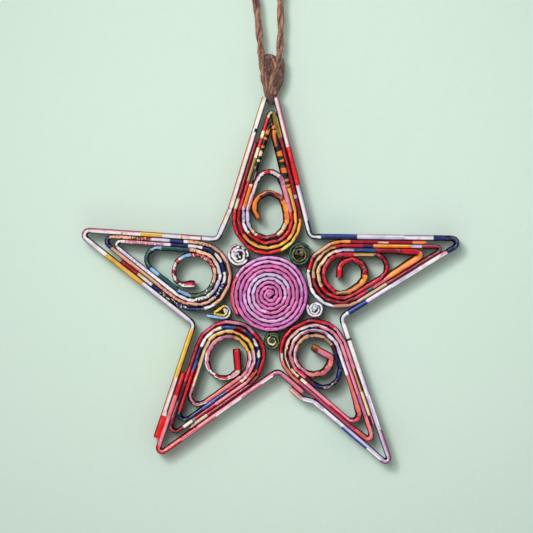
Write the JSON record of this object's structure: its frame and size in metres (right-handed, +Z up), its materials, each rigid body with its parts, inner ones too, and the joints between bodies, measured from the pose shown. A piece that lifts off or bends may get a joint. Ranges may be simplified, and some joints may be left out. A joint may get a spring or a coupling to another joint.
{
  "type": "coiled paper strip star ornament",
  "caption": "Hanging star of tightly coiled folded paper strips in mixed printed colours, with a paper strip frame and a loop of brown twine.",
  "frame": {"origin": "inside top of the twine loop, where it hangs on its peg", "axes": "+Z up, -Y toward the viewer of the front, +X to that viewer's right"},
  "size_m": [0.1056, 0.0072, 0.1481],
  "materials": {
    "frame_paper_top_left": "satin",
    "frame_paper_bottom_left": "satin",
    "frame_paper_bottom_right": "satin",
    "frame_paper_top_right": "satin",
    "coil_paper_top": "satin",
    "coil_paper_right": "satin",
    "coil_paper_bottom_right": "satin",
    "coil_paper_bottom_left": "satin",
    "coil_paper_left": "satin",
    "disc_paper": "satin",
    "roll_paper_white": "satin",
    "roll_paper_green": "satin",
    "roll_paper_pale": "satin",
    "roll_paper_moss": "satin",
    "roll_paper_yellow": "satin",
    "jute_twine": "matt"
  },
  "bodies": {
    "root": {"frame_strip_top_left": "frame_paper_top_left", "frame_strip_bottom_left": "frame_paper_bottom_left", "frame_strip_bottom_right": "frame_paper_bottom_right", "frame_strip_top_right": "frame_paper_top_right", "coil_top": "coil_paper_top", "coil_right": "coil_paper_right", "coil_bottom_right": "coil_paper_bottom_right", "coil_bottom_left": "coil_paper_bottom_left", "coil_left": "coil_paper_left", "centre_disc": "disc_paper", "small_roll_top_left": "roll_paper_white", "small_roll_top_right": "roll_paper_green", "small_roll_right": "roll_paper_pale", "small_roll_bottom": "roll_paper_moss", "small_roll_left": "roll_paper_yellow", "twine_loop": "jute_twine", "twine_knot": "jute_twine"}
  },
  "joints": []
}
